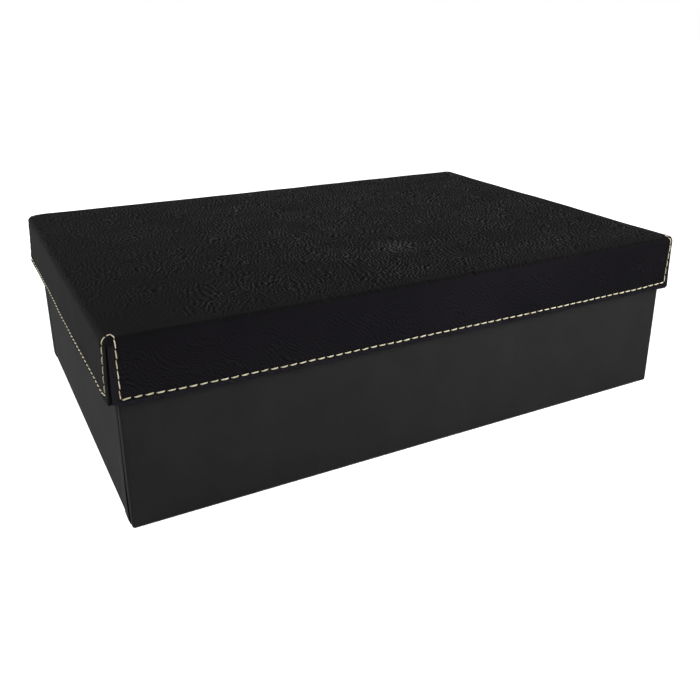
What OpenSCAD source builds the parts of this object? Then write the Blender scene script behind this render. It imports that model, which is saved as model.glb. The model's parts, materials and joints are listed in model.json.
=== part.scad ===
/* [Outside] */
// Length of the lid over its long sides
lid_l = 350; // [300:1:400]
// Width of the lid over its short sides
lid_w = 250; // [210:1:300]
// Height of the closed box
box_h = 100; // [80:1:140]
// Depth of the lid's skirt
skirt_h = 33.2; // [30:0.1:50]
// How far the lid stands proud of the base on each side
overhang = 5; // [4:0.1:6]

/* [Lid] */
// Thickness of the leatherette skin
skin_t = 1; // [0.8:0.1:1.2]
// Thickness of the boards in the skirt
skirt_board = 1.5; // [1.2:0.1:1.8]
// Thickness of the board in the top
top_board = 2; // [1.5:0.1:3]
// Radius of the lid's upright corners
lid_r = 6; // [5:0.5:8]
// Radius of the fold between the top and the skirt
edge_r = 3; // [2.5:0.1:3.5]
// Radius of the fold round the rim
hem_r = 1; // [0.8:0.1:1]
// Thickness of the pared edge that is turned in under the skirt
turn_t = 0.5; // [0.3:0.1:0.6]
// Height of the turned-in edge inside the skirt
turn_h = 12; // [8:1:16]
// Thickness of the lid's lining paper
lid_lining_t = 0.3; // [0.2:0.05:0.3]

/* [Corner slits] */
// Width of the slit at the rim
slit_rim_w = 2.2; // [1.5:0.1:3]
// Width of the slit near its top
slit_top_w = 1; // [0.5:0.1:1.4]
// Distance from the fold down to the top of the slit
slit_drop = 0.5; // [0.5:0.5:6]
// Radius of the flap corners beside the slit
flap_r = 1.5; // [1:0.1:2]

/* [Stitching] */
// Stitches along one long side
long_stitches = 68; // [50:1:80]
// Stitches along one short side
short_stitches = 46; // [34:1:56]
// Stitches in one corner arch
arch_stitches = 14; // [10:1:18]
// Height of the rim row above the rim
row_up = 3.5; // [3:0.1:5]
// Distance from a slit to the foot of the arch beside it
leg_off = 4.2; // [4:0.1:4.6]
// How far an arch's legs draw in towards the slit at their top
leg_draw = 1; // [0:0.1:1.5]
// Height of the centre of an arch's round top above the start of the fold
arch_rise = 3.2; // [0:0.1:4]
// Diameter of the thread
thread_d = 0.8; // [0.6:0.1:1]
// Gap between two stitches, where the thread dips into a hole
stitch_gap = 0.9; // [0.6:0.1:1.4]

/* [Base] */
// Thickness of the boards in the base
base_board = 2; // [1.5:0.1:2.5]
// Thickness of the covering, infill and lining papers
paper_t = 0.4; // [0.3:0.05:0.4]
// Radius of the base's upright corners
base_r = 1.2; // [1:0.1:3]
// Gap between the base's rim and the lid's lining
rim_gap = 0.3; // [0.3:0.1:1]
// Distance from the outside to the edge of the paper under the floor
under_margin = 1; // [1:0.5:6]
// Width of the paper turned in under the floor
under_w = 12; // [8:1:18]
// Depth of the paper turned in over the rim
inside_w = 15; // [10:1:20]
// Length that the front and rear papers run round onto the short sides
flap_w = 16; // [12:1:24]
// Distance from a corner to the edge of a short side's paper
seam_off = 5.5; // [4:0.5:8]
// Distance from the base's rim down to the wall lining
lining_drop = 5; // [3:1:10]
// How far the front left seam slants towards its corner at the floor
seam_slant = 1.6; // [0:0.1:3]
// Height up to which the front left seam slants
seam_slant_h = 20; // [10:1:40]

/* [Hidden] */
$fn = 72;

leather = [0.11, 0.10, 0.11];
black_paper = [0.22, 0.22, 0.23];
lining_paper = [0.30, 0.30, 0.31];
grey_board = [0.55, 0.53, 0.50];
thread = [0.90, 0.86, 0.74];

// Lid levels
rim_z = box_h - skirt_h;
fold_z = box_h - edge_r;
board_z = box_h - skin_t - top_board;
// Lid distances from a corner's centre line, outwards
skin_in = lid_r - skin_t;
wall_in = skin_in - skirt_board;
clear_in = wall_in - turn_t;
// Distance from the lid's middle to the centre of a corner
lid_cx = lid_l / 2 - lid_r;
lid_cy = lid_w / 2 - lid_r;
quarter = lid_r * PI / 2;
// Slits stand in the middle of the corners
slit_arc = quarter / 2;

// Base sizes
base_l = lid_l - 2 * overhang;
base_w = lid_w - 2 * overhang;
base_top = board_z - lid_lining_t - rim_gap;
floor_z = 2 * paper_t;
wall_top = base_top - paper_t;
lining_z = floor_z + base_board;
board_l = base_l - 2 * paper_t;
board_w = base_w - 2 * paper_t;
inner_l = board_l - 2 * base_board;
inner_w = board_w - 2 * base_board;
// Width of the lap where one paper runs onto another
lap_w = 2;
// Play around a piece that lies between others
play = 0.2;
// Length of a stitch's tapered end
tip_t = 0.5;
// Share of the thread's radius at the tip of a stitch
tip_share = 0.6;
// How far a cutter runs past what it cuts
past = 1;
// Overlap of shapes that are joined
join = 0.01;

// Plan shapes and sweeps

module round_rect(l, w, r) {
    square([l - 2 * r, w], center = true);
    square([l, w - 2 * r], center = true);
    for (sx = [-1, 1], sy = [-1, 1])
        translate([sx * (l / 2 - r), sy * (w / 2 - r)]) circle(r);
}

module slab(l, w, z0, z1) {
    translate([-l / 2, -w / 2, z0]) cube([l, w, z1 - z0]);
}

module frame(l, w, t, z0, z1) {
    difference() {
        slab(l, w, z0, z1);
        slab(l - 2 * t, w - 2 * t, z0 - past, z1 + past);
    }
}

// Carries a section round a rectangle: its x runs outwards from the corner centres, its y is height
module around(l, w, r) {
    for (k = [0:3]) {
        side = k % 2 == 0 ? [l, w] : [w, l];
        rotate(90 * k) translate([side[0] / 2 - r, 0, 0])
            rotate([90, 0, 0]) linear_extrude(side[1] - 2 * r, center = true) children();
        translate([(k == 0 || k == 3 ? 1 : -1) * (l / 2 - r), (k < 2 ? 1 : -1) * (w / 2 - r), 0])
            rotate(90 * k) rotate_extrude(angle = 90) children();
    }
}

// Places a corner drawn in the first quadrant, about its own centre, at one corner of the lid
module at_corner(sx, sy) {
    mirror([sx < 0 ? 1 : 0, 0, 0]) mirror([0, sy < 0 ? 1 : 0, 0])
        translate([lid_cx, lid_cy, 0]) children();
}

// Lid

// Outside of the folded skin, from the corner's centre line out
module skin_outline() {
    translate([0, rim_z]) square([lid_r - hem_r, skirt_h - edge_r]);
    translate([0, rim_z + hem_r]) square([lid_r, skirt_h - edge_r - hem_r]);
    translate([lid_r - hem_r, rim_z + hem_r]) circle(hem_r);
    translate([0, fold_z - join]) square([lid_r - edge_r, edge_r + join]);
    translate([lid_r - edge_r, fold_z]) intersection() {
        circle(edge_r);
        translate([-join, -join]) square(edge_r + past);
    }
}

// Room inside the skin for the boards, the lining and the base
module skin_room() {
    bend = edge_r - skin_t;
    translate([-past, rim_z - past]) square([clear_in + past, box_h - skin_t - rim_z + past]);
    translate([-past, rim_z + turn_h]) square([skin_in + past, fold_z - rim_z - turn_h]);
    translate([wall_in, rim_z + skin_t]) square([skirt_board, turn_h]);
    translate([-past, fold_z - past]) square([skin_in - bend + past, bend + past]);
    translate([skin_in - bend, fold_z]) intersection() {
        circle(bend);
        translate([-join, -join]) square(bend + past);
    }
}

// A slit that widens to the rim, with the flap corners beside it rounded
module slit_outline() {
    top = fold_z - slit_drop;
    polygon([
        [-slit_rim_w / 2, rim_z - past], [slit_rim_w / 2, rim_z - past],
        [slit_top_w / 2, top], [-slit_top_w / 2, top]
    ]);
    translate([0, top]) circle(slit_top_w / 2);
    for (s = [-1, 1])
        translate([s * (slit_rim_w / 2 + flap_r), rim_z + flap_r]) difference() {
            translate([s > 0 ? -flap_r - play : 0, -flap_r - past]) square([flap_r + play, flap_r + past]);
            circle(flap_r);
        }
}

module slit_cutter() {
    rotate(45) translate([clear_in - past, 0, 0]) rotate([90, 0, 90])
        linear_extrude(skin_t + skirt_board + turn_t + 2 * past) slit_outline();
}

module lid_skin() {
    color(leather) difference() {
        union() {
            around(lid_l, lid_w, lid_r) difference() {
                skin_outline();
                skin_room();
            }
            slab(2 * lid_cx, 2 * lid_cy, box_h - skin_t, box_h);
        }
        for (sx = [-1, 1], sy = [-1, 1]) at_corner(sx, sy) slit_cutter();
    }
}

module lid_top_board() {
    reach = lid_r - edge_r;
    color(grey_board) translate([0, 0, board_z]) linear_extrude(top_board)
        round_rect(2 * (lid_cx + reach), 2 * (lid_cy + reach), reach);
}

module lid_long_board(side) {
    color(grey_board)
        translate([-lid_cx, side > 0 ? lid_cy + wall_in : -lid_cy - skin_in, rim_z + skin_t])
        cube([2 * lid_cx, skirt_board, fold_z - rim_z - skin_t]);
}

module lid_short_board(side) {
    color(grey_board)
        translate([side > 0 ? lid_cx + wall_in : -lid_cx - skin_in, -lid_cy, rim_z + skin_t])
        cube([skirt_board, 2 * lid_cy, fold_z - rim_z - skin_t]);
}

// Strips that close the corners behind the slits
module lid_corner_backings() {
    color(leather) for (sx = [-1, 1], sy = [-1, 1]) at_corner(sx, sy)
        rotate_extrude(angle = 90) translate([wall_in, rim_z + skin_t])
        square([skirt_board, fold_z - rim_z - skin_t]);
}

module lid_lining() {
    color(lining_paper) {
        around(lid_l, lid_w, lid_r) {
            translate([0, board_z - lid_lining_t]) square([wall_in, lid_lining_t]);
            translate([wall_in - lid_lining_t, rim_z + turn_h])
                square([lid_lining_t, board_z - rim_z - turn_h]);
        }
        slab(2 * lid_cx, 2 * lid_cy, board_z - lid_lining_t, board_z);
    }
}

// Stitching

// Point on the lid's skin: t runs along the skin from the end of a long side, h runs up it
function on_skin(t, h) =
    let (
        phi = min(90, max(0, (h - fold_z) / edge_r * 180 / PI)),
        over = max(0, h - fold_z - edge_r * PI / 2),
        u = lid_r - edge_r + edge_r * cos(phi) - over,
        z = min(h, fold_z) + edge_r * sin(phi),
        turn = t / lid_r * 180 / PI
    )
    t < 0 ? [t, u, z] : t > quarter ? [u, quarter - t, z] : [u * sin(turn), u * cos(turn), z];

// Point on a corner arch, q along the thread from the foot of its long side's leg
leg_h = fold_z + arch_rise - rim_z - row_up;
arch_r = leg_off - leg_draw;
arch_len = 2 * leg_h + PI * arch_r;
function leg_at(q) = leg_off - leg_draw * q / leg_h;
function on_arch(q) =
    let (back = arch_len - q, bend = (q - leg_h) / arch_r * 180 / PI)
    q < leg_h ? on_skin(slit_arc - leg_at(q), rim_z + row_up + q)
    : back < leg_h ? on_skin(slit_arc + leg_at(back), rim_z + row_up + back)
    : on_skin(slit_arc - arch_r * cos(bend), fold_z + arch_rise + arch_r * sin(bend));

// One stitch lying in the skin from point a to point b, thinner where it dips into its holes
module stitch(a, b) {
    d = b - a;
    half = norm(d) / 2;
    thread_r = thread_d / 2;
    translate((a + b) / 2) rotate([0, acos(d[2] / (2 * half)), atan2(d[1], d[0])])
        rotate_extrude($fn = 16) polygon([
            [0, -half], [thread_r * tip_share, -half], [thread_r, -half + tip_t],
            [thread_r, half - tip_t], [thread_r * tip_share, half], [0, half]
        ]);
}

module arch_stitching(sx, sy) {
    pitch = arch_len / arch_stitches;
    color(thread) at_corner(sx, sy) for (i = [0:arch_stitches - 1])
        stitch(on_arch(i * pitch + stitch_gap / 2), on_arch((i + 1) * pitch - stitch_gap / 2));
}

module long_rim_stitching(sy) {
    run = 2 * (lid_cx + slit_arc - leg_off);
    pitch = run / long_stitches;
    reach = [for (i = [0:long_stitches - 1]) i * pitch - run / 2];
    color(thread) for (x = reach)
        stitch(on_long_side(x + stitch_gap / 2, sy), on_long_side(x + pitch - stitch_gap / 2, sy));
}

// Point of the rim row on a long side, x along the skin from the middle of the side
function on_long_side(x, sy) =
    let (p = on_skin(abs(x) - lid_cx, rim_z + row_up))
    [sign(x) * (lid_cx + p[0]), sy * (lid_cy + p[1]), p[2]];

module short_rim_stitching(sx) {
    run = 2 * (lid_cy + quarter - slit_arc - leg_off);
    pitch = run / short_stitches;
    x = sx * lid_l / 2;
    z = rim_z + row_up;
    color(thread) for (i = [0:short_stitches - 1])
        stitch(
            [x, i * pitch - run / 2 + stitch_gap / 2, z],
            [x, (i + 1) * pitch - run / 2 - stitch_gap / 2, z]
        );
}

// Base

module base_bottom_cover() {
    color(black_paper) slab(base_l - 2 * under_margin, base_w - 2 * under_margin, 0, paper_t);
}

module base_infill() {
    color(lining_paper)
        slab(base_l - 2 * under_w - 2 * play, base_w - 2 * under_w - 2 * play, paper_t, 2 * paper_t);
}

module base_floor_board() {
    color(grey_board) slab(inner_l, inner_w, floor_z, lining_z);
}

module base_long_board(sy) {
    color(grey_board) translate([0, 0, floor_z]) linear_extrude(wall_top - floor_z) intersection() {
        round_rect(board_l, board_w, base_r - paper_t);
        translate([-board_l / 2, sy > 0 ? inner_w / 2 : -board_w / 2]) square([board_l, base_board]);
    }
}

module base_short_board(sx) {
    color(grey_board) translate([sx > 0 ? inner_l / 2 : -board_l / 2, -inner_w / 2, floor_z])
        cube([base_board, inner_w, wall_top - floor_z]);
}

// Front or rear paper: under the floor, up the wall, round both corners, over the rim and down inside
module base_long_cover(sy) {
    in_l = inner_l - 2 * paper_t;
    in_w = inner_w - 2 * paper_t;
    color(black_paper) mirror([0, sy > 0 ? 1 : 0, 0]) {
        translate([0, 0, floor_z]) linear_extrude(wall_top - floor_z) difference() {
            intersection() {
                round_rect(base_l, base_w, base_r);
                translate([-base_l / 2, -base_w / 2]) square([base_l, flap_w]);
            }
            round_rect(board_l, board_w, base_r - paper_t);
        }
        for (z = [[paper_t, under_w], [wall_top, (base_w - in_w) / 2]])
            translate([0, 0, z[0]]) linear_extrude(paper_t) intersection() {
                round_rect(base_l, base_w, base_r);
                translate([-base_l / 2, -base_w / 2]) square([base_l, z[1]]);
            }
        translate([-in_l / 2, -inner_w / 2, base_top - inside_w]) cube([in_l, paper_t, inside_w]);
    }
}

// Paper of a short side, which laps over the ends of the front and rear papers
module base_short_cover(sx, slant) {
    seam = base_w / 2 - seam_off;
    step = base_w / 2 - flap_w - play;
    in_l = inner_l - 2 * paper_t;
    span = inner_w - 2 * paper_t;
    color(black_paper) mirror([sx > 0 ? 1 : 0, 0, 0]) {
        translate([-base_l / 2, -step, paper_t]) cube([paper_t, 2 * step, base_top - paper_t]);
        for (s = [-1, 1])
            translate([-base_l / 2 - paper_t, s > 0 ? step - lap_w : -seam, paper_t])
                cube([paper_t, seam - step + lap_w, base_top - paper_t]);
        if (slant > 0)
            translate([-base_l / 2 - paper_t, 0, 0]) rotate([90, 0, 90]) linear_extrude(paper_t)
                polygon([[join - seam, paper_t], [-seam - slant, paper_t], [join - seam, paper_t + seam_slant_h]]);
        translate([-base_l / 2 - paper_t, -span / 2 + seam_off, wall_top])
            cube([paper_t + (base_l - in_l) / 2, span - 2 * seam_off, paper_t]);
        translate([-base_l / 2, -span / 2, wall_top])
            cube([(base_l - in_l) / 2, span, paper_t]);
        translate([-inner_l / 2, -span / 2, base_top - inside_w]) cube([paper_t, span, inside_w]);
        translate([-base_l / 2, -base_w / 2 + under_w, paper_t])
            cube([under_w, base_w - 2 * under_w, paper_t]);
    }
}

module base_floor_lining() {
    color(lining_paper) slab(inner_l, inner_w, lining_z, lining_z + paper_t);
}

// Wall lining, which steps in where it laps over the papers turned in at the rim
module base_wall_lining() {
    lap = base_top - inside_w;
    color(lining_paper) {
        frame(inner_l, inner_w, paper_t, lining_z + paper_t, lap);
        frame(inner_l - 2 * paper_t, inner_w - 2 * paper_t, paper_t, lap - past, base_top - lining_drop);
    }
}

base_bottom_cover();
base_infill();
base_floor_board();
base_long_board(-1);  // base_front_board
base_long_board(1);  // base_rear_board
base_short_board(-1);  // base_left_board
base_short_board(1);  // base_right_board
base_long_cover(-1);  // base_front_cover
base_long_cover(1);  // base_rear_cover
base_short_cover(-1, seam_slant);  // base_left_cover
base_short_cover(1, 0);  // base_right_cover
base_floor_lining();
base_wall_lining();
lid_skin();
lid_top_board();
lid_long_board(-1);  // lid_front_board
lid_long_board(1);  // lid_rear_board
lid_short_board(-1);  // lid_left_board
lid_short_board(1);  // lid_right_board
lid_corner_backings();
lid_lining();
long_rim_stitching(-1);  // front_rim_stitching
long_rim_stitching(1);  // rear_rim_stitching
short_rim_stitching(-1);  // left_rim_stitching
short_rim_stitching(1);  // right_rim_stitching
arch_stitching(-1, -1);  // front_left_arch_stitching
arch_stitching(1, -1);  // front_right_arch_stitching
arch_stitching(-1, 1);  // rear_left_arch_stitching
arch_stitching(1, 1);  // rear_right_arch_stitching
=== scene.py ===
import json
import math

import bmesh
import bpy
import numpy as np
from mathutils import Matrix, Vector


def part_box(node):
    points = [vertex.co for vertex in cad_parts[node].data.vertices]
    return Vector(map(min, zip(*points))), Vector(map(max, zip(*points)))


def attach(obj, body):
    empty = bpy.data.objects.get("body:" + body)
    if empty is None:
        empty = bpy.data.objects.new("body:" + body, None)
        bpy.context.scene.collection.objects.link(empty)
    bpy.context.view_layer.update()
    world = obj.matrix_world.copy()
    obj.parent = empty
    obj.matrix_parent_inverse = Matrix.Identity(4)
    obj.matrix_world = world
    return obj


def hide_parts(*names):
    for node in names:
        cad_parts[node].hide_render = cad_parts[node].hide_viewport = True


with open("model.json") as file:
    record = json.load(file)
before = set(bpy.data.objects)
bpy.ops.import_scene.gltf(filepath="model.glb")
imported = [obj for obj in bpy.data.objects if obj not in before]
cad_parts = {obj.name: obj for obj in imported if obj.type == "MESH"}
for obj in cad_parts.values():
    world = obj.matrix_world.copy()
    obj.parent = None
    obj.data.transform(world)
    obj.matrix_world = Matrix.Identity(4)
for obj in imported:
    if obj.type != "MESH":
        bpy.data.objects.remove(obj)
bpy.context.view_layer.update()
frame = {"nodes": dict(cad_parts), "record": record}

MM = 0.001
rng = np.random.default_rng(7)

# Sizes in millimetres: the outside comes from the frame, the rest is as in the construction

lid_low, lid_high = (np.array(corner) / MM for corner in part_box("lid_skin"))
LID_L, LID_W = (lid_high - lid_low)[:2]
LEFT_X, RIGHT_X, FRONT_Y, REAR_Y = -LID_L / 2, LID_L / 2, -LID_W / 2, LID_W / 2
RIM_Z, TOP_Z = lid_low[2], lid_high[2]
LID_R = 6.0
EDGE_R = 3.0
SKIN_T = 1.0
BOARD_T = 1.5
TURN_T = 0.5
TURN_H = 12.0
HEM_R = 1.0
FOLD_Z = TOP_Z - EDGE_R
SLIT_RIM_W = 2.2
SLIT_TOP_W = 1.0
SLIT_DROP = 0.5
FLAP_R = 1.5
LONG_STITCHES = 68
SHORT_STITCHES = 46
ARCH_STITCHES = 14
ROW_UP = 3.5
LEG_OFF = 4.2
LEG_DRAW = 1.0
ARCH_RISE = 3.2
PAPER_T = 0.4
BASE_BOARD = 2.0
BASE_R = 1.2
BASE_SEAM = 5.5
BASE_FLAP = 16.0
UNDER_W = 12.0
INSIDE_W = 15.0
SEAM_SLANT, SEAM_SLANT_H = 1.6, 20.0

# Camera of the photograph: an aim point on the floor, a direction, a distance and a lens

CAM_AZ, CAM_EL, CAM_ROLL = -29.006, 20.182, 0.239
CAM_AIM = (77.94 * MM, 101.61 * MM, 0.0)
CAM_DIST = 665.11 * MM
IMAGE_PX = 700
FOCAL_PX = 782.10
CENTRE_PX = (365.31, 302.10)
SENSOR = 36.0


def make_camera():
    az, el, roll = (math.radians(a) for a in (CAM_AZ, CAM_EL, CAM_ROLL))
    back = Vector((math.sin(az) * math.cos(el), -math.cos(az) * math.cos(el), math.sin(el)))
    level = Vector((0, 0, 1)).cross(back).normalized()
    upright = back.cross(level)
    right = level * math.cos(roll) + upright * math.sin(roll)
    up = upright * math.cos(roll) - level * math.sin(roll)
    data = bpy.data.cameras.new("camera")
    data.sensor_width = SENSOR
    data.lens = FOCAL_PX / IMAGE_PX * SENSOR
    data.shift_x = (IMAGE_PX / 2 - CENTRE_PX[0]) / IMAGE_PX
    data.shift_y = (CENTRE_PX[1] - IMAGE_PX / 2) / IMAGE_PX
    data.clip_start, data.clip_end = 0.01, 30
    camera = bpy.data.objects.new("camera", data)
    turn = Matrix((right, up, back)).transposed().to_4x4()
    camera.matrix_world = Matrix.Translation(Vector(CAM_AIM) + back * CAM_DIST) @ turn
    bpy.context.collection.objects.link(camera)
    bpy.context.scene.camera = camera


class Graph:
    """The node tree of a material or of the world, with short ways to add and join nodes."""

    def __init__(self, owner):
        owner.use_nodes = True
        self.nodes, self.links = owner.node_tree.nodes, owner.node_tree.links
        self.nodes.clear()

    def node(self, kind, inputs=None, **settings):
        """Adds a node. Each input, by name or number, takes a value or another node's output."""
        node = self.nodes.new("ShaderNode" + kind)
        for key, value in settings.items():
            setattr(node, key, value)
        for key, value in (inputs or {}).items():
            if isinstance(value, bpy.types.NodeSocket):
                self.links.new(value, node.inputs[key])
            else:
                node.inputs[key].default_value = value
        return node

    def maths(self, operation, first, second=0.0):
        return self.node("Math", {0: first, 1: second}, operation=operation).outputs[0]

    def total(self, first, *others):
        for value in others:
            first = self.maths("ADD", first, value)
        return first

    def product(self, first, *others):
        for value in others:
            first = self.maths("MULTIPLY", first, value)
        return first

    def vector(self, operation, *values):
        return self.node("VectorMath", dict(enumerate(values)), operation=operation).outputs[0]

    def distance(self, first, second):
        node = self.node("VectorMath", {0: first, 1: second}, operation="DISTANCE")
        return node.outputs["Value"]

    def scaled(self, vector, factor):
        return self.node("VectorMath", {0: vector, "Scale": factor}, operation="SCALE").outputs[0]

    def parts(self, vector):
        return self.node("SeparateXYZ", {0: vector}).outputs

    def turned(self, vector, angle):
        inputs = {"Vector": vector, "Angle": angle}
        return self.node("VectorRotate", inputs, rotation_type="Z_AXIS").outputs[0]

    def place_mm(self, stretch=(1, 1, 1)):
        """The place on the object in millimetres, with a pattern drawn out along each axis by a factor."""
        scale = tuple(1 / MM / factor for factor in stretch)
        return self.vector("MULTIPLY", self.node("TexCoord").outputs["Object"], scale)

    def spread(self, value, low, high, to_low=0.0, to_high=1.0):
        """Carries the range low to high onto another range, and keeps within it."""
        ends = {"From Min": low, "From Max": high, "To Min": to_low, "To Max": to_high}
        return self.node("MapRange", {"Value": value, **ends}).outputs[0]

    def noise(self, vector, size, detail=2, rough=0.5):
        inputs = {"Vector": vector, "Scale": 1 / size, "Detail": detail, "Roughness": rough}
        return self.node("TexNoise", inputs).outputs[0]

    def swirled(self, vector, size, reach):
        """The vector, carried about by up to half of reach in eddies of a size."""
        eddy = self.node("TexNoise", {"Vector": vector, "Scale": 1 / size, "Detail": 1})
        centred = self.vector("SUBTRACT", eddy.outputs["Color"], (0.5, 0.5, 0.5))
        return self.vector("MULTIPLY_ADD", centred, (reach, reach, reach), vector)

    def blend(self, share, first, second):
        """A colour between two, each of which is written as red, green and blue or comes from a node."""
        ends = [end if isinstance(end, bpy.types.NodeSocket) else (*end, 1) for end in (first, second)]
        return self.node("Mix", {0: share, 6: ends[0], 7: ends[1]}, data_type="RGBA").outputs[2]

    def bump(self, height, depth_mm, under=None):
        inputs = {"Height": height, "Strength": 1.0, "Distance": depth_mm * MM}
        if under is not None:
            inputs["Normal"] = under
        return self.node("Bump", inputs).outputs[0]

    def finish(self, colour, rough, normal, specular):
        inputs = {"Base Color": colour, "Roughness": rough, "Normal": normal}
        shader = self.node("BsdfPrincipled", {**inputs, "Specular IOR Level": specular})
        self.node("OutputMaterial", {0: shader.outputs[0]})


def new_material(name):
    material = bpy.data.materials.new(name)
    return material, Graph(material)


# Lights, floor and world: sizes in metres, power in watts

FLOOR_HALF = 6.0
FLOOR_COLOUR = (0.8, 0.8, 0.8, 1)
GLOW_FROM, GLOW_TO = 0.3, 1.2
GLOW_NEAR, GLOW_FAR = 0.8, 1.0
ROOM_COLOUR = (0.98, 0.99, 1, 1)
ROOM = 0.08
MIDDLE = (0, 0, 0.05)


def seen_directly(g):
    """1 for rays from the camera and for reflected and refracted ones, 0 for the light on the object."""
    path = g.node("LightPath").outputs
    either = g.maths("MAXIMUM", path["Is Camera Ray"], path["Is Glossy Ray"])
    return g.maths("MAXIMUM", either, path["Is Transmission Ray"])


def make_floor():
    """A pale floor that looks white, a little less so near the object, where its shadow shows."""
    h = FLOOR_HALF
    mesh = bpy.data.meshes.new("floor")
    mesh.from_pydata([(-h, -h, 0), (h, -h, 0), (h, h, 0), (-h, h, 0)], [], [(0, 1, 2, 3)])
    floor = bpy.data.objects.new("floor", mesh)
    bpy.context.collection.objects.link(floor)
    material, g = new_material("floor")
    away = g.distance(g.node("TexCoord").outputs["Object"], (0, 0, 0))
    glow = g.spread(away, GLOW_FROM, GLOW_TO, GLOW_NEAR, GLOW_FAR)
    shine = g.node("Emission", {"Strength": g.product(glow, seen_directly(g))})
    diffuse = g.node("BsdfDiffuse", {"Color": FLOOR_COLOUR})
    both = g.node("AddShader", {0: diffuse.outputs[0], 1: shine.outputs[0]})
    g.node("OutputMaterial", {0: both.outputs[0]})
    mesh.materials.append(material)


def make_world():
    world = bpy.data.worlds.new("studio")
    bpy.context.scene.world = world
    g = Graph(world)
    room = g.node("Background", {"Color": ROOM_COLOUR, "Strength": ROOM})
    white = g.node("Background", {"Color": (1, 1, 1, 1), "Strength": 1.0})
    choose = g.node("MixShader", {0: seen_directly(g), 1: room.outputs[0], 2: white.outputs[0]})
    g.node("OutputWorld", {0: choose.outputs[0]})


def area_light(name, place, aim, size, power):
    data = bpy.data.lights.new(name, "AREA")
    data.shape = "RECTANGLE"
    data.size, data.size_y = size
    data.energy = power
    light = bpy.data.objects.new(name, data)
    light.location = place
    light.rotation_mode = "QUATERNION"
    light.rotation_quaternion = (Vector(aim) - Vector(place)).to_track_quat("-Z", "Y")
    bpy.context.collection.objects.link(light)


def make_lights():
    area_light("key", (-1.3, 0.45, 1.1), aim=MIDDLE, size=(0.9, 0.9), power=24)
    area_light("left_fill", (-1.2, -0.6, 0.7), aim=MIDDLE, size=(0.8, 0.6), power=0.8)
    area_light("front_fill", (0.15, -0.5, 0.28), aim=(0.1, 0, 0.04), size=(0.3, 0.3), power=2.25)
    area_light("overhead", (0, 0.1, 1.3), aim=MIDDLE, size=(0.9, 0.9), power=1.2)


# Leatherette: two families of creases, which cross each other at twice the slant

GRAIN_TURN = math.radians(28)
CREASE_SLANT = math.radians(17)
CREASE_PITCH = 2.3
GRAIN_DEPTH, PEBBLE_DEPTH = 0.7, 0.05
GRAIN_PAINTED_SHEEN = 12.0
SKIRT_GRAIN = 0.09
DARKEST = 0.1
# Painted light on the corners, a painted highlight on the left fold and painted shade at the right end.
CORNER_PAINTED_LIGHT, LEFT_FOLD_PAINTED_HIGHLIGHT, RIGHT_END_PAINTED_SHADE = 1.1, 0.3, -0.3
HEM_BAND, HEM_BLUR = 2.8, 0.4
# A pale spot on the top, a painted sheen: where it is, how strong, and its colour.
SHEEN_SPOT_AT = (9.0, -59.0, TOP_Z)
SHEEN_SPOT_SHARE = 0.5
SHEEN_SPOT_COLOUR = (0.0260, 0.0245, 0.0250)
# The skirt's colours are a bluer copy of the top's: painted light, the tint the sides take from the light.
TOP_DARK, TOP_LIGHT = (0.0060, 0.0057, 0.0061), (0.0072, 0.0068, 0.0071)
SKIRT_DARK, SKIRT_LIGHT = (0.0065, 0.0060, 0.0077), (0.0082, 0.0076, 0.0093)

# Where its looks set in: from and to, along one axis or, with an R, at distances from a point

ON_TOP_Z = (TOP_Z - 2.2, TOP_Z - 0.6)
ON_LEFT_X = (LEFT_X + 3, LEFT_X + 1)
FAINT_LEFT_X, FAINT_CORNER_R = (-165, 0), (12, 60)
NEAR_FRONT_Y = (FRONT_Y + 2.5, FRONT_Y + 22)
TO_REAR_Y = (-70, REAR_Y)
ON_SKIRT_Z = (FOLD_Z, FOLD_Z - 7)
HEM_Z = (RIM_Z + HEM_BAND + HEM_BLUR, RIM_Z + HEM_BAND - HEM_BLUR)
# Where the corners' painted light and the painted shade behind the slits lie.
CORNER_PAINT_X, CORNER_PAINT_Y = (RIGHT_X - 6.5, RIGHT_X - 4.0), (REAR_Y - 6.5, REAR_Y - 4.0)
CORNER_PAINT_Z, CORNER_PAINT_R = (FOLD_Z, FOLD_Z - 1.5), (LID_R - SKIN_T - 0.2, LID_R - SKIN_T + 0.2)
LEFT_FOLD_X, LEFT_FOLD_Z = (LEFT_X + 2.6, LEFT_X + 1.6), (FOLD_Z - 0.2, FOLD_Z + 0.8)
RIGHT_END_X, BELOW_TOP_Z = (40, RIGHT_X), (FOLD_Z + 2, FOLD_Z)
SHEEN_SPOT_R = (16, 3)


def creases(g, vector, turn):
    """Parallel creases, from -1 to 1, which run along the vector's second axis turned by an angle."""
    x, _, z = g.parts(g.turned(vector, turn))
    return g.maths("SINE", g.product(g.total(x, z), 2 * math.pi / CREASE_PITCH))


def grain_depth(g, here, on_top):
    """How deep the grain lies: in patches, more to the rear, less to the left and front and on the skirt."""
    x, y, z = g.parts(here)
    patches = g.spread(g.noise(here, size=26, detail=3, rough=0.6), 0.38, 0.58, 0.45, 1.0)
    breaks = g.spread(g.noise(here, size=5, detail=1), 0.38, 0.55, 0.35, 1.0)
    # Grain fainter to the left and near the front left corner.
    fainter_left = g.spread(x, *FAINT_LEFT_X, 0.25, 1.0)
    fainter_near_corner = g.spread(g.distance(here, (LEFT_X, FRONT_Y, TOP_Z)), *FAINT_CORNER_R)
    near_front = g.spread(y, *NEAR_FRONT_Y, 0.15, 1.0)
    towards_rear = g.spread(y, *TO_REAR_Y, 1.0, 1.75)
    top = g.product(on_top, fainter_left, fainter_near_corner, near_front, towards_rear)
    skirt = g.spread(z, *ON_SKIRT_Z, 0.0, SKIRT_GRAIN)
    return g.product(g.total(top, skirt), patches, breaks)


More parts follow.
